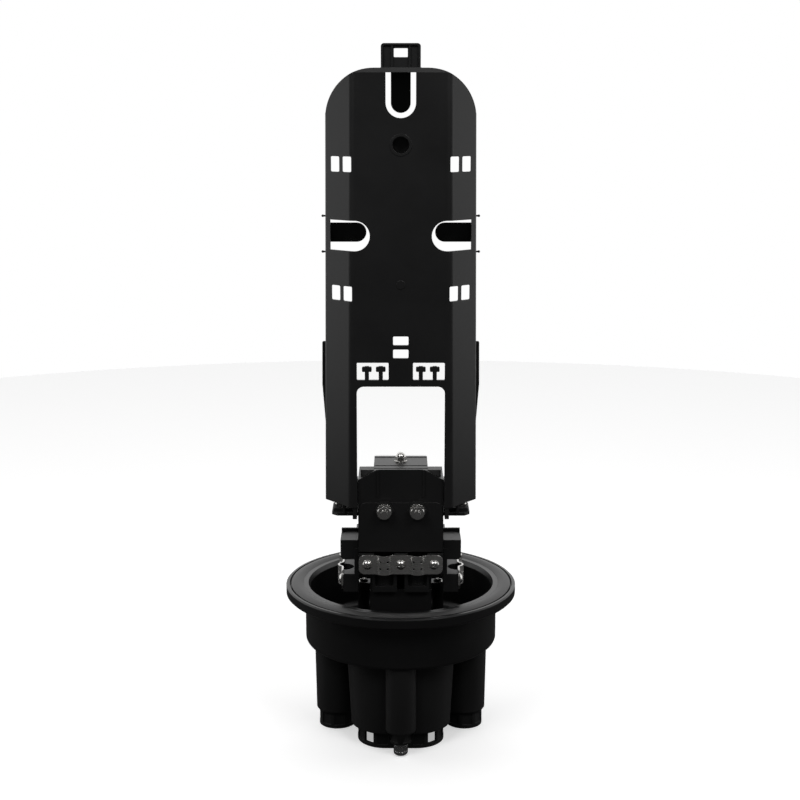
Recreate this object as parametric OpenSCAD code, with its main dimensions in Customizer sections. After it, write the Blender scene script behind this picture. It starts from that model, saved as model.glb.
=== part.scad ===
// Fibre dome splice closure, opened: the moulded base with its cable ports
// and air valve, the cable and tray brackets, and the upright storage frame.
// Millimetres, +Z up. The origin is on the base's axis, at the plane of the
// port ends. The frame's back plate faces -Y and the trays' side faces +Y.

/* [Base] */
// Outside diameter of the flange that the dome sits on
flange_d = 190; // [184:1:200]
// Thickness of the flange
flange_t = 9; // [7:0.5:11]
// Height of the flange's top above the port ends
base_h = 125.5; // [118:0.5:135]
// Outside diameter of the collar under the flange
collar_d = 158.4; // [157:0.2:162]
// Height of the collar, from the flange down to its floor
collar_h = 39.5; // [36:0.5:43]
// Radius of the collar's bottom shoulder
shoulder_r = 3; // [2:0.5:5]
// Wall of the collar, floor and ports
base_wall = 4; // [3:0.25:4.5]
// Draft of the round ports
port_draft = 1; // [0.8:0.1:1.4]
// Draft of the oval port
oval_draft = 3.2; // [2.4:0.1:3.4]

/* [Sealing ring] */
// Width of the ring's channel in the flange
channel_w = 11.6; // [10:0.2:12]
// Depth of the channel
channel_depth = 3.6; // [3:0.2:4.5]
// Lip of the flange outside the channel
lip_w = 2.8; // [2.4:0.1:3.2]
// Free width between the ring and the outer lip
ring_gap = 1.4; // [1:0.1:1.8]
// Rise of the ring's crown above the flange
ring_rise = 1.2; // [0.8:0.1:1.6]

/* [Round ports] */
// Outside diameter of a round port at the collar's floor
round_port_d = 37; // [34:0.5:38]
// Distance of the side ports from the axis
side_port_x = 53.5; // [53:0.5:55]
// Distance of the rear ports from the axis
rear_port_r = 52; // [50:0.5:54]
// Half the angle between the two rear ports
rear_port_angle = 29; // [28:1:31]
// Height of the windowed end of each port
skirt_h = 12; // [10:0.5:13]
// Step from a port's wall in to its windowed end
skirt_step = 2.2; // [1.6:0.2:2.8]

/* [Oval port] */
// Outside depth of the oval port at the collar's floor
oval_d = 63.4; // [62:0.2:64]
// Distance between the centres of its two round ends
oval_span = 25; // [22:1:27]
// Distance of its centre from the axis
oval_y = 30; // [29:0.5:31]
// Step from the oval port's wall in to its windowed end
oval_step = 5.25; // [4:0.25:6]

/* [Air valve] */
// Outside diameter of the tube that carries the valve
valve_tube_d = 24.4; // [22:0.4:25]
// Distance of the valve from the axis
valve_y = 64; // [63:0.25:65]
// Diameter of the valve's thread
valve_d = 7.7; // [7:0.1:8]
// Outside diameter of the valve's cap
valve_cap_d = 11.6; // [11:0.2:12.4]
// Height of the valve's cap
valve_cap_h = 8; // [7.6:0.2:9]

/* [Cable bracket] */
// Height of the bracket's feet below the flange's top
foot_drop = 4; // [3:0.5:5]
// Width of the bracket between its side saddles' faces
saddle_span = 91.8; // [90:0.2:94]
// Width of the bracket's deck
deck_w = 74; // [73:0.5:76]
// Height of the deck's top above the bracket's feet
deck_rise = 45.5; // [44:0.5:48]
// Wall of the bracket's ribs and plates
bracket_wall = 3; // [2.5:0.25:3.5]
// Distance of the front saddle's face from the axis
front_saddle_y = 55.25; // [54.5:0.25:56.5]
// Radius of a cable groove
groove_r = 8; // [6.5:0.25:8.5]

/* [Clamp strips] */
// Length of a clamp strip
strip_l = 66.4; // [65:0.2:68]
// Height of a clamp strip
strip_h = 15.6; // [14:0.2:16.5]
// Thickness of a clamp strip
strip_t = 1.5; // [1.2:0.1:2]
// How far a strip's waves stand out
wave_rise = 3.4; // [2.6:0.2:4]
// Pitch of the clamp screws
screw_pitch = 26.4; // [25:0.2:27]
// Thread diameter of the clamp screws
clamp_screw_d = 4; // [3.5:0.1:4.5]

/* [Tray bracket] */
// Width of the tray bracket
block_w = 67; // [65:0.5:68]
// Height of its front wall above the deck
block_h = 67; // [64:0.5:72]
// Distance of its front wall's face from the axis
block_y = 54; // [53:0.5:54.5]
// Length of the tray bracket from front to back
block_l = 46; // [44:1:52]
// Height of the arms' top above the deck
arm_rise = 30.5; // [28:0.5:33]
// Width across the arms
arm_span = 109; // [108:0.5:112]
// Distance between the two anchor bolts
anchor_pitch = 26; // [25:0.5:30]
// Thread diameter of the anchor bolts
anchor_d = 6; // [5:0.5:6]

/* [Tray comb] */
// Width of the comb's front part
comb_w = 63; // [60:0.5:64]
// Width of the comb's rear part
comb_rear_w = 42.6; // [40:0.2:46]
// Height of the comb
comb_h = 8; // [7:0.5:9]
// Pitch of the comb's slots
slot_pitch = 9; // [8:0.25:10]
// Width of a slot
slot_w = 2.4; // [1.8:0.2:3]

/* [Frame] */
// Height of the frame's top above its feet
frame_h = 342.5; // [330:0.5:360]
// Half width of the back plate, to its folds, at mid height
fold_x = 37.9; // [37:0.1:39]
// Half width over the side walls at mid height
side_x = 58.3; // [57:0.1:60]
// Depth of the slanted wings
wing_depth = 18.5; // [16:0.5:21]
// Depth of the frame from the back plate to its open edge
frame_depth = 40; // [38:0.5:44]
// Wall of the frame
frame_wall = 2.5; // [2:0.1:3]
// Lean of each side towards the middle, in degrees
frame_lean = 0.5; // [0:0.1:0.7]
// Radius of the frame's top corners
crown_r = 37; // [34:1:41]
// Width of the opening between the legs
leg_gap = 68; // [67.5:0.1:69]
// Height of the legs' opening above the feet
leg_h = 103; // [98:1:106]

/* [Hidden] */
$fn = 48;
fit = 0.05;           // clearance of a screw or stem in its hole
cut = 1;              // overshoot of a cutting tool
fold_lap = 0.03;      // a fold's outside stands this much proud of its walls
fold_step = 0.1;      // and its inside this much deeper
mid_lap = 8;          // lap of the frame's two halves in the middle
ring_inset = 0.3;     // the crown's wall stops this far short of the frame's faces

// Colours
black = [0.07, 0.07, 0.075];
rubber_grey = [0.2, 0.2, 0.2];
steel = [0.75, 0.75, 0.74];
chrome = [0.85, 0.85, 0.85];
brass = [0.72, 0.6, 0.3];

// Base
flange_r = flange_d / 2;
collar_r = collar_d / 2;
collar_z = base_h - flange_t - collar_h;      // underside of the collar
cup_floor_z = collar_z + base_wall;
cup_r = collar_r - base_wall;
skirt_wall = 2.5;
floor_fillet = 6;                             // inside the cup, at its floor
pocket_depth = 1.3;                           // recesses round a port's end
lip_r = flange_r - lip_w;                     // outer wall of the channel
channel_in_r = lip_r - channel_w;
channel_z = base_h - channel_depth;
round_r = round_port_d / 2;
end_z = skirt_h + 3;                          // where the ports step in
port_fall = (collar_z - end_z) * tan(port_draft);
oval_fall = (collar_z - end_z) * tan(oval_draft);
oval_r = oval_d / 2;
rear_port = [rear_port_r * sin(rear_port_angle), rear_port_r * cos(rear_port_angle)];
round_ports = [[side_port_x, 0], [-side_port_x, 0], rear_port, [-rear_port.x, rear_port.y]];
window_w = 8.6;
window_rib = 3;
window_z = 3;
window_h = skirt_h - window_z + 0.5;
oval_window_x = 14.6;                         // middle of the oval port's front windows

// Air valve, measured from the port ends
cap_z = 0.5;
valve_nut_d = 14;
valve_nut_h = 2.5;
valve_top_z = cap_z + valve_cap_h + valve_nut_h + 0.3;  // foot of the valve's neck
neck_r = valve_nut_d / 2 + 1.5;
neck_h = 11;
tube_r = valve_tube_d / 2;
core_r = 2.4;
pin_r = 0.9;
pin_travel = 1.5;
valve_up = 14;                                // stem inside the tube
cap_wall = 1.2;
cap_seal_t = 1.2;
valve_end_z = cap_z + cap_wall + cap_seal_t;  // open end of the valve
pin_z = valve_end_z + 0.4;
pin_head_h = 0.8;
core_z = pin_z + pin_head_h + pin_travel + 0.3;
chamber_r = 4.5;

// Cable bracket
foot_z = base_h - foot_drop;
foot_t = 3.5;
deck_z = foot_z + deck_rise;                  // seat of the tray bracket
deck_t = 4;
pillar_r = 4.6;
pillar_x = 31;
pillar_rear_y = 30;
pillars = [[pillar_x, 0], [-pillar_x, 0], [0, pillar_rear_y]];
bracket_front_y = -45;
bracket_back_y = 24;
foot_back_y = pillar_rear_y + 6;
side_low = 9.5;                               // side saddles above the feet
side_saddle_h = 15;
front_saddle_h = 17;
front_low = deck_rise - 1 - front_saddle_h;
side_strip_y = -13.4;                         // middle of the side strips
lug_x = 48;
lug_low = 36.5;
lug_h = 16;
lug_back_y = -20;
lug_lip = 2;                                  // raised lip behind the lug
lug_lip_rise = 2.5;
lug_notch = 8;
lug_bevel = 3;
block_gap = 0.5;                              // between a lug and the tray bracket
web_x = 24.5;
strip_seat_gap = 0.3;

// Clamp strips
wave_half = 8;
wave_a = 2 * atan(wave_rise / wave_half);
wave_r = wave_half / (2 * sin(wave_a));
wave_x = screw_pitch / 2;
strip_corner = 4.8;
screw_head_d = clamp_screw_d * 2.05;
screw_head_h = clamp_screw_d * 0.62;
clamp_screw_l = 9;
bracket_screw_l = 10;
block_screw_l = 9;
front_strip_z = foot_z + front_low + front_saddle_h - 1 - strip_h / 2;
side_strip_z = foot_z + side_low + side_saddle_h / 2 + 1.9;

// Tray bracket
block_wall = 3;
block_chamfer_x = 15;
block_chamfer_z = 8.3;
arm_t = 2.5;
arm_front_y = -48;
arm_back_y = -18;
panel_t = 1;
panel_h = 40.5;
anchor_z = deck_z + 34;
anchor_x = anchor_pitch / 2;
boss_af = 14;
boss_t = 1.6;
anchor_af = anchor_d * 5 / 3;
anchor_nut_h = anchor_d * 0.85;
stud_proud = 0.5;                             // full thread past the nut
stud_end_l = 2.5;                             // slimmer free end of the stud
stud_end_d = anchor_d - 0.8;
anchor_face_y = -block_y - panel_t - boss_t;
inner_web_x = anchor_x - anchor_af / 2 / cos(30) - block_wall - 1;
washer_t = 1.2;
comb_z = deck_z + block_h - 1;                // top of the comb
comb_seat_z = comb_z - comb_h;
comb_front_y = -block_y + block_wall + 0.3;
comb_step_y = -45.6;
comb_back_y = -3.7;
comb_bolt_d = 5;
comb_bolt_y = -23.4;

// Frame
arm_z = deck_z + arm_rise;                    // seat of the frame's feet
frame_top_z = arm_z + frame_h;
plate_y = -57;                                // outer face of the back plate
open_y = plate_y + frame_depth;
wing_y = plate_y + wing_depth;
mid_z = arm_z + 170;                          // where the widths are stated
leg_z = arm_z + 6;                            // lower end of the legs
gap_top_z = arm_z + leg_h;
wing_angle = atan2(wing_depth, side_x - fold_x);
fold_r = 7;
edge_r = 3.5;
foot_flange_t = 2.5;
foot_screw_d = 3.2;
foot_head_d = foot_screw_d * 2;
foot_rib_t = 2;
foot_x = block_w / 2 + 1;                     // inner edge of a foot
foot_rib_x = foot_x + foot_rib_t + foot_head_d + 0.9;
foot_end_x = arm_span / 2 - 1.2;
foot_screws = [[foot_rib_x - foot_head_d / 2 - 0.45, -30],
    [foot_end_x - foot_head_d / 2 - 0.6, -30]];
foot_slant = 2.4;                             // rise of a leg's end, outwards
hook_drop = 3.1;
tongue_t = 2;

// ---------------------------------------------------------------- helpers

module both_sides() {
    children();
    mirror([1, 0, 0]) children();
}

// Rectangle with round corners, centred on the origin
module rounded_rect(w, h, r) {
    square([w - 2 * r, h], center = true);
    square([w, h - 2 * r], center = true);
    for (sx = [-1, 1], sy = [-1, 1])
        translate([sx * (w / 2 - r), sy * (h / 2 - r)]) circle(r, $fn = 24);
}

// Slice of a ring between two angles less than 180 degrees apart
module ring_sector(r_out, t, from, to) {
    far = 1.4 * r_out;
    mid = (from + to) / 2;
    intersection() {
        difference() {
            circle(r_out);
            circle(r_out - t);
        }
        polygon([[0, 0], far * [cos(from), sin(from)], far * [cos(mid), sin(mid)],
            far * [cos(to), sin(to)]]);
    }
}

// Rounded fold between two walls that meet at an angle. It laps a little way
// into both walls, so that they join as one solid
module fold(r, t, from, to, lap) {
    ring_sector(r + fold_lap, t + fold_lap - fold_step, from - lap, to + lap);
}

// Outline in X and Z, raised from y0 to y1
module upright(y0, y1) {
    translate([0, y1, 0]) rotate([90, 0, 0]) linear_extrude(y1 - y0) children();
}

// Box between two corners
module block(low, high) {
    translate(low) cube(high - low);
}

// Pan-head screw with a cross recess, head up, its seat at z = 0
module pan_screw(d, length, head_d, head_h) {
    dome_r = (head_d * head_d / 4 + head_h * head_h) / (2 * head_h);
    slot = d * 0.2;
    difference() {
        intersection() {
            translate([0, 0, head_h - dome_r]) sphere(dome_r);
            cylinder(h = head_h, d = head_d);
        }
        for (a = [0, 90]) rotate(a)
            translate([-d * 0.5, -slot / 2, head_h * 0.45]) cube([d, slot, head_h]);
    }
    translate([0, 0, -length]) cylinder(h = length, d = d);
}

// Hexagon nut with chamfered corners, from z = 0 up
module hex_nut(af, h, bore_d) {
    corner_r = af / 2 / cos(30);
    difference() {
        intersection() {
            cylinder(h = h, r = corner_r, $fn = 6);
            cylinder(h = h, r1 = af / 2 + h * 0.9, r2 = af / 2, $fn = 48);
        }
        translate([0, 0, -cut]) cylinder(h = h + 2 * cut, d = bore_d);
    }
}

module washer(d, bore_d, t) {
    difference() {
        cylinder(h = t, d = d);
        translate([0, 0, -cut]) cylinder(h = t + 2 * cut, d = bore_d);
    }
}

// ------------------------------------------------------------------- base

// Flange, channel, collar and shoulder as one turned profile
module cup_profile() {
    difference() {
        union() {
            translate([0, base_h - flange_t]) square([flange_r, flange_t]);
            translate([0, collar_z + shoulder_r])
                square([collar_r, base_h - flange_t - collar_z - shoulder_r]);
            translate([0, collar_z]) square([collar_r - shoulder_r, shoulder_r + cut]);
            intersection() {
                translate([collar_r - shoulder_r, collar_z + shoulder_r]) circle(shoulder_r);
                translate([0, collar_z]) square([collar_r, shoulder_r]);
            }
        }
        // inside of the cup, with a fillet at its floor
        difference() {
            translate([0, cup_floor_z]) square([cup_r, base_h]);
            difference() {
                translate([cup_r - floor_fillet, cup_floor_z]) square(floor_fillet);
                translate([cup_r - floor_fillet, cup_floor_z + floor_fillet])
                    circle(floor_fillet);
            }
        }
        // lead-in at the mouth
        polygon([[cup_r - cut, base_h - 5], [cup_r, base_h - 4],
            [cup_r + 1.8, base_h + cut], [0, base_h + cut]]);
        translate([channel_in_r, channel_z]) square([channel_w, channel_depth + cut]);
        // eased outer edges of the flange
        translate([flange_r, base_h]) rotate(45) square(1.4, center = true);
        translate([flange_r, base_h - flange_t]) rotate(45) square(2, center = true);
    }
}

// Outline of the oval port's cone between two heights
module oval_cone(z0, z1, r0, r1) {
    for (s = [-1, 1])
        translate([s * oval_span / 2, -oval_y, z0]) cylinder(h = z1 - z0, r1 = r0, r2 = r1);
    translate([-oval_span / 2, -oval_y, 0]) rotate([90, 0, 90]) linear_extrude(oval_span)
        polygon([[-r0 - fold_lap, z0], [r0 + fold_lap, z0], [r1 + fold_lap, z1],
            [-r1 - fold_lap, z1]]);
}

module round_cone(z0, z1, r0, r1) {
    translate([0, 0, z0]) cylinder(h = z1 - z0, r1 = r0, r2 = r1);
}

// Recess in the outside of a port's end, facing X at radius r. A depth of
// more than the skirt's wall makes it a window
module end_pocket(r, depth) {
    translate([r - depth, -window_w / 2, window_z]) cube([depth + cut, window_w, window_h]);
}

module round_port_outer() {
    top_z = collar_z + cut;
    round_cone(end_z, top_z, round_r - port_fall, round_r);
    round_cone(skirt_h, end_z, round_r - port_fall - skirt_step, round_r - port_fall);
    cylinder(h = skirt_h, r = round_r - port_fall - skirt_step);
}

module round_port_inner() {
    inner_r = round_r - port_fall - base_wall;
    skirt_r = round_r - port_fall - skirt_step;
    round_cone(end_z + base_wall, cup_floor_z + cut, inner_r, round_r - base_wall);
    translate([0, 0, -cut]) cylinder(h = end_z + cut, r = skirt_r - skirt_wall);
    count = floor(2 * PI * skirt_r / (window_w + window_rib));
    for (i = [0 : count - 1]) rotate(9 + i * 360 / count) end_pocket(skirt_r, pocket_depth);
}

module oval_port_outer() {
    wall_r = oval_r - oval_fall;
    skirt_r = wall_r - oval_step;
    oval_cone(end_z, collar_z + cut, wall_r, oval_r);
    oval_cone(skirt_h, end_z, skirt_r, wall_r);
    oval_cone(0, skirt_h, skirt_r, skirt_r);
}

module oval_port_inner() {
    wall_r = oval_r - oval_fall;
    skirt_r = wall_r - oval_step;
    oval_cone(end_z + base_wall, cup_floor_z + cut, wall_r - base_wall, oval_r - base_wall);
    oval_cone(-cut, end_z, skirt_r - skirt_wall, skirt_r - skirt_wall);
    for (x = [-oval_window_x, 0, oval_window_x], a = [-90, 90])
        translate([x, -oval_y, 0]) rotate(a) end_pocket(skirt_r, pocket_depth);
    // one window at each front corner and recesses round the rest
    for (s = [-1, 1], a = [-54 : 27 : 54])
        translate([s * oval_span / 2, -oval_y, 0]) rotate(s > 0 ? a : 180 - a)
            end_pocket(skirt_r, a == -54 ? skirt_wall + cut : pocket_depth);
}

// Tube that carries the air valve, with a webbed neck
module valve_tube_outer() {
    tube_z = valve_top_z + neck_h;
    translate([0, -valve_y, tube_z]) cylinder(h = cup_floor_z - 0.4 - tube_z, r = tube_r);
    translate([0, -valve_y, valve_top_z]) cylinder(h = neck_h + cut, r = neck_r - 1.4);
    // four webs that taper to the neck, and a ring that joins their feet
    difference() {
        translate([0, -valve_y, valve_top_z]) cylinder(h = neck_h, r1 = neck_r, r2 = tube_r);
        for (a = [45 : 90 : 315]) translate([0, -valve_y, 0]) rotate(a)
            translate([neck_r - 1.5, -5, valve_top_z + 1.6]) cube([tube_r, 10, neck_h - 3]);
    }
}

module base_body() color(black) {
    difference() {
        union() {
            rotate_extrude($fn = 160) cup_profile();
            for (p = round_ports) translate([p.x, p.y, 0]) round_port_outer();
            oval_port_outer();
            valve_tube_outer();
            for (p = pillars) translate([p.x, p.y, collar_z])
                cylinder(h = foot_z - collar_z, r = pillar_r);
        }
        difference() {
            for (p = round_ports) translate([p.x, p.y, 0]) round_port_inner();
            for (p = pillars) translate([p.x, p.y, 0]) cylinder(h = foot_z, r = pillar_r);
        }
        difference() {
            oval_port_inner();
            for (p = pillars) translate([p.x, p.y, 0]) cylinder(h = foot_z, r = pillar_r);
        }
        // bore for the valve's stem, and the chamber that joins it to the cup
        translate([0, -valve_y, valve_top_z - cut])
            cylinder(h = valve_up + cut, d = valve_d + 2 * fit);
        translate([0, -valve_y, valve_top_z])
            cylinder(h = cup_floor_z + cut - valve_top_z, r = core_r);
        translate([0, -valve_y, valve_top_z + valve_up + base_wall])
            cylinder(h = cup_floor_z - valve_top_z - valve_up, r = chamber_r);
        for (p = pillars) translate([p.x, p.y, foot_z - 12])
            cylinder(h = 12 + cut, d = clamp_screw_d + 2 * fit);
    }
}

// Crowned rubber ring in the flange's channel
module seal_ring() color(rubber_grey) {
    ring_w = channel_w - ring_gap;
    crown = (ring_w * ring_w / 4 + ring_rise * ring_rise) / (2 * ring_rise);
    rotate_extrude($fn = 160) {
        translate([channel_in_r, channel_z]) square([ring_w, channel_depth]);
        intersection() {
            translate([channel_in_r + ring_w / 2, base_h + ring_rise - crown]) circle(crown);
            translate([channel_in_r, base_h - 0.2]) square([ring_w, ring_rise + 0.2]);
        }
    }
}

// -------------------------------------------------------------- air valve

module valve_stem() color(chrome) {
    difference() {
        translate([0, -valve_y, valve_end_z])
            cylinder(h = valve_top_z + valve_up - valve_end_z, d = valve_d);
        translate([0, -valve_y, valve_end_z - cut])
            cylinder(h = valve_top_z + valve_up - valve_end_z + 2 * cut, r = core_r + fit);
    }
}

module valve_nut() color(chrome) {
    translate([0, -valve_y, valve_top_z]) mirror([0, 0, 1]) difference() {
        union() {
            cylinder(h = valve_nut_h * 0.5, d = valve_nut_d);
            cylinder(h = valve_nut_h, d1 = valve_nut_d, d2 = valve_nut_d - 3);
        }
        translate([0, 0, -cut]) cylinder(h = valve_nut_h + 2 * cut, d = valve_d + 2 * fit);
    }
}

// Sleeve inside the stem that the sprung pin slides in
module valve_core() color(brass) {
    translate([0, -valve_y, core_z]) difference() {
        cylinder(h = 9, r = core_r);
        translate([0, 0, -cut]) cylinder(h = 9 + 2 * cut, r = pin_r + fit);
    }
}

module valve_pin() color(brass) {
    translate([0, -valve_y, pin_z]) cylinder(h = 15, r = pin_r, $fn = 32);
    translate([0, -valve_y, pin_z]) cylinder(h = pin_head_h, r = pin_r + 0.5);
}

// Ribbed dust cap, closed and rounded below
module valve_cap() color(chrome) {
    round_r = 2.2;
    cap_r = valve_cap_d / 2;
    difference() {
        translate([0, -valve_y, cap_z]) rotate_extrude() {
            square([cap_r - round_r, valve_cap_h]);
            translate([0, round_r]) square([cap_r, valve_cap_h - round_r]);
            intersection() {
                translate([cap_r - round_r, round_r]) circle(round_r);
                square([cap_r, round_r + cut]);
            }
        }
        translate([0, -valve_y, cap_z + cap_wall])
            cylinder(h = valve_cap_h, d = valve_d + 2 * fit);
        for (a = [0 : 20 : 340]) translate([0, -valve_y, cap_z + valve_cap_h * 0.45])
            rotate(a) translate([cap_r + 0.3, 0, 0]) cylinder(h = valve_cap_h, r = 0.6, $fn = 16);
    }
}

module valve_cap_seal() color(rubber_grey) {
    translate([0, -valve_y, cap_z + cap_wall])
        washer(valve_d, pin_r * 2 + 3, cap_seal_t - 0.05);
}

// ---------------------------------------------------------- clamp strips

// Plan of a waved strip along X, its back face on y = 0, waves towards -Y
module strip_plan() {
    flat_end = wave_x + wave_half;
    crest_y = wave_r - wave_rise - strip_t / 2;
    root_y = -wave_r - strip_t / 2;
    outer = wave_r + strip_t / 2;
    for (m = [0, 1]) mirror([m, 0]) {
        translate([flat_end, -strip_t]) square([strip_l / 2 - flat_end, strip_t]);
        translate([wave_x, crest_y]) fold(outer, strip_t, -90 - wave_a, -90 + wave_a, 6);
        for (n = [0, 1]) translate([wave_x, 0]) mirror([n, 0])
            translate([wave_half, root_y])
                ring_sector(outer + fold_lap, strip_t + fold_lap - fold_step, 81, 90 + wave_a);
    }
    middle = wave_x - wave_half;
    translate([-middle, -strip_t]) square([2 * middle, strip_t]);
}

// Strip with its screw holes and the punched grip holes on each wave
module clamp_strip() {
    difference() {
        intersection() {
            translate([0, 0, -strip_h / 2]) linear_extrude(strip_h) strip_plan();
            upright(-20, 20) rounded_rect(strip_l, strip_h, strip_corner);
        }
        for (i = [-1, 0, 1]) translate([i * screw_pitch, 5, 0]) rotate([90, 0, 0])
            cylinder(h = 20, d = clamp_screw_d + 2 * fit);
        for (s = [-1, 1], i = [-1, 1], j = [-1, 1])
            translate([s * wave_x + i * 3, 5, j * 2.8]) rotate([90, 0, 0])
                cylinder(h = 20, r = 0.8, $fn = 24);
    }
}

module clamp_screws() {
    for (i = [-1, 0, 1]) translate([i * screw_pitch, -strip_t, 0]) rotate([90, 0, 0])
        pan_screw(clamp_screw_d, clamp_screw_l, screw_head_d, screw_head_h);
}

// Places a strip on the front saddle or on a side saddle
module on_front() {
    translate([0, -front_saddle_y - fit, front_strip_z]) children();
}

module on_side(s) {
    translate([s * (saddle_span / 2 + fit), side_strip_y, side_strip_z]) rotate(s * 90)
        children();
}

module clamp_strip_front() color(steel) { on_front() clamp_strip(); }
module clamp_strip_left() color(steel) { on_side(-1) clamp_strip(); }
module clamp_strip_right() color(steel) { on_side(1) clamp_strip(); }
module front_clamp_screws() color(steel) { on_front() clamp_screws(); }
module left_clamp_screws() color(steel) { on_side(-1) clamp_screws(); }
module right_clamp_screws() color(steel) { on_side(1) clamp_screws(); }

// --------------------------------------------------------- cable bracket

// Cable grooves and screw holes of one saddle, in a strip's own place
module saddle_cuts(h) {
    for (s = [-1, 1]) translate([s * wave_x, 0, -h]) cylinder(h = 2 * h, r = groove_r);
    for (i = [-1, 0, 1]) translate([i * screw_pitch, -cut, 0]) rotate([-90, 0, 0])
        cylinder(h = clamp_screw_l + cut, d = clamp_screw_d + 2 * fit);
}

// Lug beside the tray bracket. Its lower part grows from the side wall
module side_lug() {
    z = foot_z;
    top_z = z + lug_low + lug_h;
    root_x = deck_w / 2 - bracket_wall;
    free_x = block_w / 2 + block_gap;
    difference() {
        union() {
            block([root_x, bracket_front_y, z + lug_low], [lug_x, lug_back_y, deck_z]);
            block([free_x, bracket_front_y, deck_z - bracket_wall], [lug_x, lug_back_y, top_z]);
        }
        // notch for a cable tie at the outer rear corner, and an eased lower edge
        translate([lug_x, lug_back_y, top_z - lug_notch / 2]) rotate(45)
            cube([lug_notch, lug_notch, 2 * lug_notch], center = true);
        translate([lug_x, (bracket_front_y + lug_back_y) / 2, z + lug_low]) rotate([0, 45, 0])
            cube([lug_bevel, lug_back_y - bracket_front_y + 2 * cut, lug_bevel], center = true);
    }
    block([free_x, lug_back_y, deck_z - bracket_wall],
        [lug_x, lug_back_y + lug_lip, top_z + lug_lip_rise]);
}

module cable_bracket() color(black) {
    z = foot_z;
    inner_x = deck_w / 2 - bracket_wall;
    side_y0 = side_strip_y - strip_l / 2 + 1;
    side_y1 = side_strip_y + strip_l / 2 - 1;
    difference() {
        union() {
            // foot plate with an ear on each pillar
            block([-web_x, -8, z], [web_x, foot_back_y, z + foot_t]);
            for (p = pillars) translate([p.x, p.y, z]) cylinder(h = foot_t, r = pillar_r + 1);
            both_sides() block([web_x - 1, -5.5, z], [pillar_x, 5.5, z + foot_t]);
            // two long webs that carry the deck
            both_sides() block([web_x - bracket_wall, bracket_front_y, z],
                [web_x, bracket_back_y, z + deck_rise]);
            block([-web_x, bracket_back_y - bracket_wall, z],
                [web_x, bracket_back_y, z + deck_rise]);
            block([-deck_w / 2, bracket_front_y, z + deck_rise - deck_t],
                [deck_w / 2, bracket_back_y, z + deck_rise]);
            for (p = block_screws) translate([p.x, p.y, deck_z - 11]) cylinder(h = 10, r = 4);
            // side walls and the side saddles
            both_sides() {
                block([inner_x, side_y0, z + side_low], [deck_w / 2, side_y1, z + deck_rise]);
                block([inner_x, side_y0, z + side_low],
                    [saddle_span / 2, side_y1, z + side_low + side_saddle_h]);
                side_lug();
            }
            // front saddle, its two tongues and the apron below
            block([-strip_l / 2, -front_saddle_y, z + front_low],
                [strip_l / 2, bracket_front_y + cut, z + front_low + front_saddle_h]);
            both_sides() block([3, -front_saddle_y + 3, z + 11.5],
                [web_x - bracket_wall + cut, bracket_front_y + cut, z + front_low + cut]);
            block([-web_x, bracket_front_y - 3, z - 17], [web_x, bracket_front_y + cut, z + 12]);
            both_sides() block([web_x - bracket_wall, bracket_front_y - 3, z - 17],
                [web_x, bracket_front_y + 12, z + cut]);
        }
        on_front() saddle_cuts(front_saddle_h + 2);
        for (s = [-1, 1]) on_side(s) saddle_cuts(side_saddle_h);
        for (p = pillars) translate([p.x, p.y, z - cut])
            cylinder(h = foot_t + 2 * cut, d = clamp_screw_d + 2 * fit);
        for (p = block_screws) translate([p.x, p.y, deck_z - 8])
            cylinder(h = 8 + cut, d = clamp_screw_d + 2 * fit);
    }
}

module bracket_screws() color(steel) {
    for (p = pillars) translate([p.x, p.y, foot_z + foot_t])
        pan_screw(clamp_screw_d, bracket_screw_l, screw_head_d, screw_head_h);
}

// ---------------------------------------------------------- tray bracket

block_back_y = -block_y + block_l;
block_screws = [for (sx = [-1, 1], y = [-40, -14]) [sx * (web_x - bracket_wall / 2), y]];

module block_outline() {
    w = block_w / 2;
    polygon([[-w, 0], [w, 0], [w, block_h - block_chamfer_z],
        [w - block_chamfer_x, block_h], [-w + block_chamfer_x, block_h],
        [-w, block_h - block_chamfer_z]]);
}

// Raised lower panel with round upper corners
module panel_outline() {
    w = block_w - 1.4;
    intersection() {
        translate([0, panel_h - 30]) rounded_rect(w, 60, 6);
        translate([-w / 2, 0.4]) square([w, panel_h]);
    }
    translate([-w / 2, 0.4]) square([w, panel_h - 20]);
}

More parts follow.
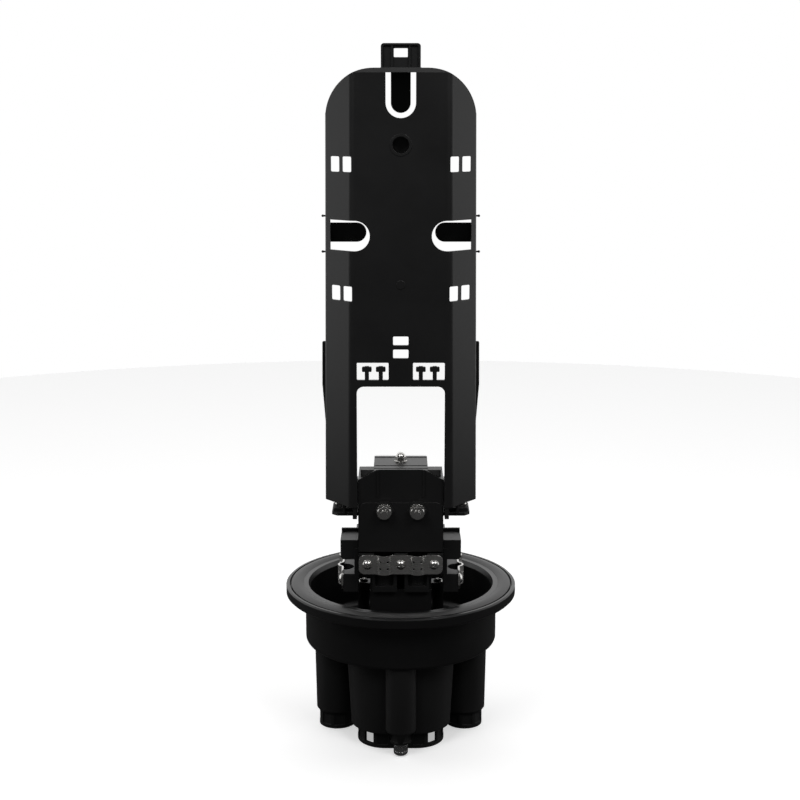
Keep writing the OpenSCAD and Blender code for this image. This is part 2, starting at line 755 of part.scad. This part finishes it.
module tray_bracket() color(black) {
    w = block_w / 2;
    seat = comb_seat_z - deck_z;
    translate([0, 0, deck_z]) difference() {
        union() {
            upright(-block_y, -block_y + block_wall) block_outline();
            upright(-block_y - panel_t, -block_y + cut) panel_outline();
            // thin ribs on the upper part of the front wall
            both_sides() block([17.2, -block_y - 1.2, panel_h + 4.5],
                [18.8, -block_y + cut, block_h]);
            // side walls, floor, comb shelf and back
            both_sides() block([w - block_wall, -block_y, 0], [w, block_back_y, seat - 1]);
            block([-w, -block_y, 0], [w, block_back_y, block_wall]);
            block([-w, -block_y, seat - block_wall], [w, block_back_y, seat]);
            both_sides() block([inner_web_x, -block_y, 0],
                [inner_web_x + block_wall, comb_bolt_y - 6, seat]);
            both_sides() block([w - cut, arm_front_y, arm_rise - arm_t],
                [arm_span / 2, arm_back_y, arm_rise]);
            // hexagonal bosses of the anchor bolts
            for (s = [-1, 1]) translate([s * anchor_x, -block_y, anchor_z - deck_z])
                rotate([90, 0, 0]) cylinder(h = panel_t + boss_t, d = boss_af / cos(30), $fn = 6);
        }
        for (s = [-1, 1]) translate([s * anchor_x, -block_y - 10, anchor_z - deck_z])
            rotate([-90, 0, 0]) cylinder(h = 20, d = anchor_d + 2 * fit);
        both_sides() translate([arm_span / 2, arm_front_y, 0]) rotate(45)
            cube([6, 6, 200], center = true);
        both_sides() for (p = foot_screws) translate([p.x, p.y, arm_rise - 10])
            cylinder(h = 20, d = foot_screw_d + 2 * fit);
        for (p = block_screws) translate([p.x, p.y, -cut])
            cylinder(h = block_wall + 2 * cut, d = clamp_screw_d + 2 * fit);
        translate([0, comb_bolt_y, seat - 10]) cylinder(h = 20, d = comb_bolt_d + 2 * fit);
    }
}

module tray_bracket_screws() color(steel) {
    for (p = block_screws) translate([p.x, p.y, deck_z + block_wall])
        pan_screw(clamp_screw_d, block_screw_l, screw_head_d, screw_head_h);
}

// Anchor bolts clamp the cables' strength members on the front wall
module on_anchor(s, y) {
    translate([s * anchor_x, y, anchor_z]) rotate([90, 0, 0]) children();
}

module anchor_bolt(s) {
    inner_y = -block_y + block_wall;
    length = inner_y - anchor_face_y + washer_t + anchor_nut_h + stud_proud;
    on_anchor(s, inner_y) {
        cylinder(h = length, d = anchor_d);
        cylinder(h = length + stud_end_l, d = stud_end_d);
    }
    translate([s * anchor_x, inner_y, anchor_z]) rotate([-90, 0, 0])
        cylinder(h = 4, d = anchor_af / cos(30), $fn = 6);
}

module anchor_washer(s) {
    on_anchor(s, anchor_face_y) washer(anchor_d * 2, anchor_d + 2 * fit, washer_t);
}

module anchor_nut(s) {
    on_anchor(s, anchor_face_y - washer_t) rotate(30)
        hex_nut(anchor_af, anchor_nut_h, anchor_d + 2 * fit);
}

module anchor_bolt_left() color(steel) { anchor_bolt(-1); }
module anchor_bolt_right() color(steel) { anchor_bolt(1); }
module anchor_washer_left() color(steel) { anchor_washer(-1); }
module anchor_washer_right() color(steel) { anchor_washer(1); }
module anchor_nut_left() color(steel) { anchor_nut(-1); }
module anchor_nut_right() color(steel) { anchor_nut(1); }

// --------------------------------------------------------------- the comb

module tray_comb() color([0.5, 0.5, 0.5]) {
    front_l = comb_step_y - comb_front_y;
    rear_l = comb_back_y - comb_front_y;
    translate([0, 0, comb_seat_z]) difference() {
        linear_extrude(comb_h) {
            translate([0, comb_front_y + front_l / 2]) rounded_rect(comb_w, front_l, 1.6);
            translate([0, comb_front_y + rear_l / 2]) rounded_rect(comb_rear_w, rear_l, 1.6);
        }
        // slots that the trays' hinges click into
        for (y = [comb_front_y + slot_pitch / 2 : slot_pitch : comb_back_y - slot_w])
            if (abs(y - comb_bolt_y) > 6)
                translate([-comb_w, y - slot_w / 2, 4]) cube([2 * comb_w, slot_w, comb_h]);
        translate([0, comb_bolt_y, -cut])
            cylinder(h = comb_h + 2 * cut, d = comb_bolt_d + 2 * fit);
    }
}

module comb_bolt() color(steel) {
    shelf_z = comb_seat_z - block_wall;
    translate([0, comb_bolt_y, shelf_z])
        cylinder(h = comb_h + block_wall + 5, d = comb_bolt_d);
    translate([0, comb_bolt_y, shelf_z - 3.5])
        cylinder(h = 3.5, d = 8 / cos(30), $fn = 6);
}

module comb_washer() color(steel) {
    translate([0, comb_bolt_y, comb_z]) washer(10, comb_bolt_d + 2 * fit, 1);
}

// Domed cap nut
module comb_nut() color(steel) {
    dome_r = 3.9;
    translate([0, comb_bolt_y, comb_z + 1]) difference() {
        union() {
            cylinder(h = 3.4, d = 8 / cos(30), $fn = 6);
            intersection() {
                translate([0, 0, 3]) sphere(dome_r);
                cylinder(h = 8, r = dome_r);
            }
        }
        translate([0, 0, -cut]) cylinder(h = 4.2 + cut, d = comb_bolt_d + 2 * fit);
    }
}

// -------------------------------------------------------------- the frame

// Section of one half: back plate, slanted wing and side wall. The two halves'
// plates lap in the middle
module half_section() {
    t = frame_wall;
    a = wing_angle;
    out = [sin(a), -cos(a)];
    fold_c = [fold_x - fold_r * tan(a / 2), plate_y + fold_r];
    edge_c = [side_x - edge_r, wing_y + edge_r * tan(45 - a / 2)];
    translate([-mid_lap, plate_y]) square([fold_c.x + mid_lap, t]);
    translate(fold_c) fold(fold_r, t, -90, -90 + a, 9);
    polygon([fold_c + fold_r * out, edge_c + edge_r * out, edge_c + (edge_r - t) * out,
        fold_c + (fold_r - t) * out]);
    translate(edge_c) fold(edge_r, t, -90 + a, 0, 12);
    translate([side_x - t, edge_c.y]) square([t, open_y - edge_c.y]);
}

// Half width of the leaning frame at a height
function half_w(x, z) = x - (z - mid_z) * tan(frame_lean);

// Front outline of the crown: its sides stand clear of the leaning walls and
// only the large top corners and the top edge trim them
module frame_outline() {
    corner_z = frame_top_z - crown_r;
    corner_x = half_w(side_x, corner_z) - crown_r;
    side = side_x + 4;
    low = leg_z + foot_slant * (side - leg_gap / 2) / (side_x - leg_gap / 2);
    polygon([[-side, low], [-leg_gap / 2, leg_z], [leg_gap / 2, leg_z], [side, low],
        [side, corner_z + 4], [-side, corner_z + 4]]);
    polygon([[-corner_x, corner_z], [corner_x, corner_z], [corner_x, frame_top_z],
        [-corner_x, frame_top_z]]);
    for (s = [-1, 1]) translate([s * corner_x, corner_z]) circle(crown_r, $fn = 96);
}

// Front view of the wall that runs over the top, a hair inside the outline
module crown_ring() {
    corner_z = frame_top_z - crown_r;
    corner_x = half_w(side_x, corner_z) - crown_r;
    outer_z = frame_top_z - fold_lap;
    inner_z = outer_z - frame_wall;
    polygon([[-corner_x, inner_z], [corner_x, inner_z], [corner_x, outer_z], [-corner_x, outer_z]]);
    for (m = [0, 1]) mirror([m, 0]) translate([corner_x, corner_z])
        ring_sector(crown_r - fold_lap, frame_wall, 7, 90);
}

// Inside of the slanted wings, for trimming the crown's wall
module channel_outside() {
    top_fold = half_w(fold_x, frame_top_z) - 0.8;
    reach = 5;
    top_side = top_fold + side_x - fold_x;
    polygon([[-top_fold, plate_y], [top_fold, plate_y], [top_side, wing_y],
        [top_side + reach, wing_y + reach * tan(wing_angle)], [top_side + reach, open_y],
        [-top_side - reach, open_y], [-top_side - reach, wing_y + reach * tan(wing_angle)],
        [-top_side, wing_y]]);
}

module leaning_half() {
    lean_h = frame_top_z - leg_z + 20;
    translate([0, 0, mid_z]) rotate([0, -frame_lean, 0]) translate([0, 0, -mid_z])
        translate([0, 0, leg_z - 10]) linear_extrude(lean_h) half_section();
}

// Back plate, wings, side walls and the wall over the top
module frame_shell() {
    intersection() {
        both_sides() leaning_half();
        upright(plate_y - cut, open_y + cut) frame_outline();
    }
    intersection() {
        upright(plate_y + ring_inset, open_y - ring_inset) crown_ring();
        linear_extrude(frame_top_z + cut) channel_outside();
    }
}

// Tongue that holds fibres in the channel: from x or z = 0, round at its tip
module tongue(length, w) {
    translate([0, -w / 2]) square([length - w / 2, w]);
    translate([length - w / 2, 0]) circle(w / 2);
}

top_tongue_l = 32.9;
side_tongue_z = frame_top_z - 124;
side_slot_w = 23;
side_slot_tip = 23.4;
wing_window_z = [frame_top_z - 70.6, frame_top_z - 168];

// Openings in the back plate and wings
module frame_cuts() {
    through_y = plate_y - cut;
    // U shaped slot round the top tongue
    upright(through_y, plate_y + frame_wall + cut)
        translate([0, frame_top_z - 3.5]) rotate(-90) tongue(33.1, 22.6);
    // opening between the legs
    upright(through_y, plate_y + frame_wall + cut) {
        translate([0, gap_top_z - 60]) rounded_rect(leg_gap, 120, 5.5);
        translate([-leg_gap / 2, leg_z - cut]) square([leg_gap, 40]);
    }
    // two small windows on the centre line
    for (drop = [203.9, 214]) upright(through_y, plate_y + frame_wall + cut)
        translate([0, frame_top_z - drop]) rounded_rect(11.8, 6.9, 0.9);
    // windows round the two pairs of tie-down tees
    both_sides() upright(through_y, plate_y + frame_wall + cut)
        translate([21.6, frame_top_z - 227.6]) difference() {
            rounded_rect(24.4, 13.5, 0.8);
            for (x = [-6.2, 4.5]) {
                translate([x - 1.6, -8]) square([3.2, 12]);
                translate([x, 1.6]) rounded_rect(7.5, 3.9, 0.9);
            }
        }
    // pairs of windows in the wings
    both_sides() for (z = wing_window_z, x = [40.4, 49.6])
        upright(through_y, wing_y + 6) translate([x, z]) rounded_rect(6.5, 11.5, 1);
    // side slots with a round inner end
    both_sides() upright(through_y, wing_y + 1) {
        translate([53.8, side_tongue_z]) rotate(180) tongue(53.8 - side_slot_tip, side_slot_w);
    }
    // blind hole of the boss
    translate([0, plate_y - 2, frame_top_z - 56.3]) rotate([-90, 0, 0])
        cylinder(h = 13, r = 6.3);
    // bevel along the top edge of the back plate
    translate([-100, 0, 0]) rotate([90, 0, 90]) linear_extrude(200)
        polygon([[plate_y - cut, frame_top_z - 4.5], [plate_y + 4.5, frame_top_z + cut],
            [plate_y - cut, frame_top_z + cut]]);
}

// Catch above the top wall, a ribbed tab with a window
module top_catch() {
    catch_y = open_y - 4;
    half = 15.2;
    base_z = frame_top_z - frame_wall;
    h = 19 + frame_wall;
    difference() {
        union() {
            upright(catch_y, catch_y + 2) translate([0, base_z + h / 2])
                rounded_rect(2 * half, h, 2.4);
            upright(catch_y - 2, catch_y + 1) difference() {
                translate([0, base_z + h / 2]) rounded_rect(2 * half, h, 2.4);
                translate([0, base_z + h / 2 - 4]) rounded_rect(2 * half - 3, h + 5, 1.6);
            }
            both_sides() block([6, catch_y - 1.6, base_z], [7.4, catch_y + 1, base_z + h - 1.2]);
        }
        upright(catch_y - 5, catch_y + 5)
            translate([0, frame_top_z + 12]) rounded_rect(10.6, 6.6, 0.6);
    }
    block([-half - 0.6, catch_y - 3, base_z], [half + 0.6, open_y, frame_top_z + 1]);
}

// Fins and pegs on the outside of the side walls, guides for the dome
module side_guides() {
    fin_top = frame_top_z - 208.3;
    at = half_w(side_x, fin_top);
    both_sides() {
        upright(wing_y + 8, wing_y + 10)
            polygon([[at - 1.5, fin_top], [at + 2.2, fin_top], [at + 2.9, fin_top - 0.8],
                [at + 3.2, fin_top - 34], [at + 0.6, fin_top - 68], [at - 1.5, fin_top - 68]]);
        for (z = [frame_top_z - 110.4, frame_top_z - 137.9]) {
            x = half_w(side_x, z);
            translate([x - 1, wing_y + 7, z]) rotate([0, 90, 0]) cylinder(h = 3.4, r = 0.7, $fn = 16);
            translate([x + 2.3, wing_y + 7, z]) sphere(1, $fn = 16);
        }
    }
}

// Foot of each leg: a flange on the arm, carried by two ribs and a back
// wall, with a hook in front of the arm's edge
module frame_foot() {
    back = arm_back_y;
    rib_top = leg_z + 16;
    difference() {
        union() {
            block([foot_x, arm_front_y + 4, arm_z], [foot_end_x, back, arm_z + foot_flange_t]);
            block([foot_x, plate_y + 1, arm_z], [foot_x + foot_rib_t, back, rib_top]);
            block([foot_rib_x, plate_y + 6.7, arm_z], [foot_rib_x + foot_rib_t, back, rib_top]);
            block([foot_x, back - foot_rib_t, leg_z], [side_x, back, rib_top]);
            block([foot_x, plate_y + 1, arm_z - hook_drop],
                [foot_x + 3.3, arm_front_y - 0.3, leg_z + 3]);
        }
        for (p = foot_screws) translate([p.x, p.y, arm_z - cut])
            cylinder(h = foot_flange_t + 2 * cut, d = foot_screw_d + 2 * fit);
    }
}

module frame() color(black) {
    boss_z = frame_top_z - 56.3;
    difference() {
        union() {
            frame_shell();
            // boss with a raised rim
            translate([0, plate_y - 0.5, boss_z]) rotate([-90, 0, 0])
                cylinder(h = 14, r = 8.2);
            translate([0, plate_y - 0.4, frame_top_z - 160.9]) rotate([-90, 0, 0])
                cylinder(h = 1, r = 3.4);
        }
        frame_cuts();
    }
    // tongues just inside the open edge
    tongue_y = open_y - ring_inset - 0.4;
    side_l = half_w(side_x, side_tongue_z) - 1 - 26.8;
    upright(tongue_y - tongue_t, tongue_y)
        translate([0, frame_top_z - 1]) rotate(-90) tongue(top_tongue_l - 1, 15.2);
    both_sides() upright(tongue_y - tongue_t, tongue_y)
        translate([26.8 + side_l, side_tongue_z]) rotate(180) tongue(side_l, 14.9);
    top_catch();
    side_guides();
    both_sides() frame_foot();
}

module frame_screws() color(steel) {
    both_sides() for (p = foot_screws) translate([p.x, p.y, arm_z + foot_flange_t])
        pan_screw(foot_screw_d, foot_flange_t + arm_t + 3, foot_head_d, foot_screw_d * 0.65);
}

base_body();
seal_ring();
valve_stem();
valve_nut();
valve_core();
valve_pin();
valve_cap();
valve_cap_seal();
cable_bracket();
bracket_screws();
clamp_strip_front();
clamp_strip_left();
clamp_strip_right();
front_clamp_screws();
left_clamp_screws();
right_clamp_screws();
tray_bracket();
tray_bracket_screws();
anchor_bolt_left();
anchor_bolt_right();
anchor_washer_left();
anchor_washer_right();
anchor_nut_left();
anchor_nut_right();
tray_comb();
comb_bolt();
comb_washer();
comb_nut();
frame();
frame_screws();
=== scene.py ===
"""Looks, camera and light for the opened dome splice closure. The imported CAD
model is the frame: this script dresses its pieces and sets up the studio."""

import math

import bpy
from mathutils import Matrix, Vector

# Lengths are in metres, lens and sensor in millimetres, powers in watts.
CAMERA_PLACE = (-0.0006, -1.1337, 0.5078)
CAMERA_DOWN_DEG = 11.43
LENS = 64.1
SENSOR_WIDTH = 36.0
CLIP_START = 0.01

# The studio's brightness along Y, from the dark front to the pale back.
STUDIO_Y = (-0.35, 0.45)
STUDIO_STRENGTH = (0.06, 1.0)
WHITE = (1, 1, 1, 1)

FLOOR_RADIUS = 1.6
FLOOR_PLACE = (0, 0.2, -0.0002)
FLOOR_SIDES = 96
PAPER = (0.86, 0.86, 0.86, 1)
PAPER_GLOW = 0.42
BENCH = (0.05, 0.05, 0.05, 1)

# Surfaces: where colour ramps turn, softened edge radii and grain depths.
RAMP_STOPS = (0.3, 0.7)
BEVEL_SAMPLES = 4
PLASTIC_EDGE = 0.0004
PLASTIC_RELIEF = 0.0002
PLASTIC_SPREAD = (0.8, 1.2)
PLASTIC_GLOSS_SPREAD = 0.05
METAL_EDGE = 0.00025
METAL_RELIEF = 0.0001
METAL_GRAIN = 900.0
METAL_BUMP = 0.06
METAL_DARKEST = 0.86
METAL_GLOSS_SPREAD = 0.08
SMOOTHEST = 0.03

# The ports' duller skin starts under the collar.
PORT_TOP = 0.077
PORT_BLEND = 0.001

SIDE_SIZE = (0.5, 1.1)
SIDE_POWER = 1.2
SIDE_AIM = (0, 0, 0.27)
KEY_SIZE = (0.8, 0.8)
KEY_POWER = 12
KEY_AIM = (0, 0, 0.25)

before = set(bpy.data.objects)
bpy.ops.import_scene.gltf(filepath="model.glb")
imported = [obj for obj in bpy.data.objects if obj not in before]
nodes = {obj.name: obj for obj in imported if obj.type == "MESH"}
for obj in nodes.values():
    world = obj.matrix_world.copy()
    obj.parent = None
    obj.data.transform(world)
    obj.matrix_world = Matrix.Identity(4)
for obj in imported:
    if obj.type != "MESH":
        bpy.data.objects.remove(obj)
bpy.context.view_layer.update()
scene = bpy.context.scene


class Nodes:
    """Short way to add and join shader nodes."""

    def __init__(self, tree):
        self.tree = tree
        tree.nodes.clear()

    def add(self, kind, **values):
        node = self.tree.nodes.new(kind)
        for key, value in values.items():
            if hasattr(node, key):
                setattr(node, key, value)
            else:
                node.inputs[key.replace("_", " ")].default_value = value
        return node

    def link(self, out, into):
        self.tree.links.new(out, into)

    def map_range(self, value, source=(0.0, 1.0), target=(0.0, 1.0), curve="LINEAR"):
        node = self.add("ShaderNodeMapRange", interpolation_type=curve)
        for end, place, result in zip(("Min", "Max"), source, target):
            node.inputs["From " + end].default_value = place
            node.inputs["To " + end].default_value = result
        self.link(value, node.inputs["Value"])
        return node.outputs[0]

    def noise(self, vector, **values):
        node = self.add("ShaderNodeTexNoise", **values)
        self.link(vector, node.inputs["Vector"])
        return node.outputs["Fac"]

    def ramp(self, value, colors):
        node = self.add("ShaderNodeValToRGB")
        for stop, place, color in zip(node.color_ramp.elements, RAMP_STOPS, colors):
            stop.position = place
            stop.color = [*color, 1]
        self.link(value, node.inputs[0])
        return node.outputs[0]

    def by_ray(self, factor, others, camera, kind, socket="Surface"):
        """Show one shader to the camera and another to every other ray."""
        mix = self.add("ShaderNodeMixShader")
        self.link(factor, mix.inputs[0])
        self.link(others, mix.inputs[1])
        self.link(camera, mix.inputs[2])
        out = self.add(kind)
        self.link(mix.outputs[0], out.inputs[socket])


def new_material(name):
    mat = bpy.data.materials.new(name)
    mat.use_nodes = True
    return mat, Nodes(mat.node_tree)


# ------------------------------------------------------------ camera, stage

def add_camera():
    data = bpy.data.cameras.new("camera")
    data.sensor_width = SENSOR_WIDTH
    data.lens = LENS
    data.clip_start = CLIP_START
    cam = bpy.data.objects.new("camera", data)
    cam.location = CAMERA_PLACE
    cam.rotation_euler = (math.radians(90 - CAMERA_DOWN_DEG), 0.0, 0.0)
    scene.collection.objects.link(cam)
    scene.camera = cam


def add_lamp(name, place, target, size, power):
    data = bpy.data.lights.new(name, "AREA")
    data.shape = "RECTANGLE"
    data.size, data.size_y = size
    data.energy = power
    lamp = bpy.data.objects.new(name, data)
    lamp.location = place
    aim = Vector(target) - Vector(place)
    lamp.rotation_euler = aim.to_track_quat("-Z", "Y").to_euler()
    scene.collection.objects.link(lamp)


def add_world():
    """White to the camera; to everything else a pale studio behind the object
    and a dark one in front, as the soft boxes leave it."""
    world = bpy.data.worlds.new("studio")
    scene.world = world
    world.use_nodes = True
    n = Nodes(world.node_tree)
    coord = n.add("ShaderNodeTexCoord")
    split = n.add("ShaderNodeSeparateXYZ")
    n.link(coord.outputs["Generated"], split.inputs[0])
    strength = n.map_range(split.outputs["Y"], STUDIO_Y, STUDIO_STRENGTH, "SMOOTHSTEP")
    studio = n.add("ShaderNodeBackground", Color=WHITE)
    n.link(strength, studio.inputs["Strength"])
    white = n.add("ShaderNodeBackground", Color=WHITE, Strength=1.0)
    path = n.add("ShaderNodeLightPath")
    n.by_ray(path.outputs["Is Camera Ray"], studio.outputs[0], white.outputs[0],
             "ShaderNodeOutputWorld")


def add_floor():
    """White paper, lifted a little where the camera sees it. It lights the
    object as little as a dark bench would."""
    bpy.ops.mesh.primitive_circle_add(vertices=FLOOR_SIDES, radius=FLOOR_RADIUS,
                                      fill_type="NGON", location=FLOOR_PLACE)
    floor = bpy.context.object
    floor.name = "floor"
    mat, n = new_material("floor")
    diffuse = n.add("ShaderNodeBsdfDiffuse", Color=PAPER)
    dark = n.add("ShaderNodeBsdfDiffuse", Color=BENCH)
    glow = n.add("ShaderNodeEmission")
    path = n.add("ShaderNodeLightPath")
    lift = n.add("ShaderNodeMath", operation="MULTIPLY")
    lift.inputs[1].default_value = PAPER_GLOW
    n.link(path.outputs["Is Camera Ray"], lift.inputs[0])
    n.link(lift.outputs[0], glow.inputs["Strength"])
    both = n.add("ShaderNodeAddShader")
    n.link(diffuse.outputs[0], both.inputs[0])
    n.link(glow.outputs[0], both.inputs[1])
    n.by_ray(path.outputs["Is Camera Ray"], dark.outputs[0], both.outputs[0],
             "ShaderNodeOutputMaterial")
    floor.data.materials.append(mat)


# ---------------------------------------------------------------- materials

def add_surface(n, bsdf, height, edge, bump, depth):
    """Soften the edges, lay the grain on them and join the shader's output."""
    soft = n.add("ShaderNodeBevel", samples=BEVEL_SAMPLES, Radius=edge)
    relief = n.add("ShaderNodeBump", Strength=bump, Distance=depth)
    n.link(height, relief.inputs["Height"])
    n.link(soft.outputs[0], relief.inputs["Normal"])
    n.link(relief.outputs[0], bsdf.inputs["Normal"])
    out = n.add("ShaderNodeOutputMaterial")
    n.link(bsdf.outputs[0], out.inputs["Surface"])


def plastic(name, color, rough, grain, bump, port_rough=None):
    """Moulded plastic: fine grain, slow variation of gloss and colour, and
    softened edges. Below PORT_TOP it can take another roughness."""
    mat, n = new_material(name)
    bsdf = n.add("ShaderNodeBsdfPrincipled")
    coord = n.add("ShaderNodeTexCoord")
    place = coord.outputs["Object"]
    fine = n.noise(place, Scale=grain, Detail=3.0, Roughness=0.6)
    slow = n.noise(place, Scale=22.0, Detail=4.0, Roughness=0.6)
    tint = n.ramp(slow, [[c * part for c in color] for part in PLASTIC_SPREAD])
    n.link(tint, bsdf.inputs["Base Color"])
    gloss = (rough - PLASTIC_GLOSS_SPREAD, rough + PLASTIC_GLOSS_SPREAD)
    rough_out = n.map_range(slow, target=gloss)
    if port_rough is not None:
        where = n.add("ShaderNodeSeparateXYZ")
        n.link(place, where.inputs[0])
        step = n.map_range(where.outputs["Z"], (PORT_TOP - PORT_BLEND, PORT_TOP + PORT_BLEND),
                           (port_rough - rough, 0.0))
        total = n.add("ShaderNodeMath", operation="ADD")
        n.link(rough_out, total.inputs[0])
        n.link(step, total.inputs[1])
        rough_out = total.outputs[0]
    n.link(rough_out, bsdf.inputs["Roughness"])
    add_surface(n, bsdf, fine, PLASTIC_EDGE, bump, PLASTIC_RELIEF)
    return mat


def metal(name, color, rough, stretch=(1.0, 1.0, 1.0)):
    """Metal with a fine finish that stretch can draw out into brush lines."""
    mat, n = new_material(name)
    bsdf = n.add("ShaderNodeBsdfPrincipled", Metallic=1.0)
    coord = n.add("ShaderNodeTexCoord")
    place = n.add("ShaderNodeMapping", Scale=stretch)
    n.link(coord.outputs["Object"], place.inputs["Vector"])
    fine = n.noise(place.outputs[0], Scale=METAL_GRAIN, Detail=3.0)
    slow = n.noise(coord.outputs["Object"], Scale=60.0, Detail=3.0)
    tint = n.ramp(slow, [[c * METAL_DARKEST for c in color], color])
    n.link(tint, bsdf.inputs["Base Color"])
    gloss = (max(rough - METAL_GLOSS_SPREAD, SMOOTHEST), rough + METAL_GLOSS_SPREAD)
    n.link(n.map_range(fine, target=gloss), bsdf.inputs["Roughness"])
    add_surface(n, bsdf, fine, METAL_EDGE, METAL_BUMP, METAL_RELIEF)
    return mat


def dress(mat, *names):
    for name in names:
        mesh = nodes[name].data
        mesh.materials.clear()
        mesh.materials.append(mat)


housing = plastic("housing_black", (0.005, 0.005, 0.0052), 0.30, 900.0, 0.12, port_rough=0.50)
frame_black = plastic("frame_black", (0.009, 0.009, 0.0093), 0.40, 1400.0, 0.10)
bracket_black = plastic("bracket_black", (0.006, 0.006, 0.0062), 0.42, 1300.0, 0.12)
comb_black = plastic("comb_black", (0.03, 0.03, 0.03), 0.42, 1300.0, 0.12)
seal_black = plastic("seal_rubber", (0.03, 0.03, 0.03), 0.45, 700.0, 0.2)
strip_steel = metal("strip_steel", (0.74, 0.73, 0.71), 0.28, stretch=(0.06, 0.06, 1.0))
screw_steel = metal("screw_steel", (0.72, 0.71, 0.69), 0.20)
chrome = metal("valve_chrome", (0.8, 0.8, 0.8), 0.14)
brass = metal("valve_brass", (0.7, 0.55, 0.28), 0.28)

dress(housing, "base_body")
dress(seal_black, "seal_ring", "valve_cap_seal")
dress(frame_black, "frame")
dress(bracket_black, "cable_bracket", "tray_bracket")
dress(comb_black, "tray_comb")
dress(strip_steel, "clamp_strip_front", "clamp_strip_left", "clamp_strip_right")
dress(chrome, "valve_stem", "valve_nut", "valve_cap")
dress(brass, "valve_core", "valve_pin")
dress(screw_steel, *[name for name in nodes if name.startswith(("anchor_", "comb_"))
                     or name.endswith("screws")])

add_camera()
add_world()
add_floor()
for side, word in ((-1, "left"), (1, "right")):
    add_lamp("side_" + word, (side * 1.0, 0.05, 0.22), SIDE_AIM, SIDE_SIZE, SIDE_POWER)
for side, word in ((-1, "left"), (1, "right")):
    add_lamp("key_" + word, (side * 0.9, -1.3, 1.6), KEY_AIM, KEY_SIZE, KEY_POWER)

scene.view_settings.view_transform = "Standard"
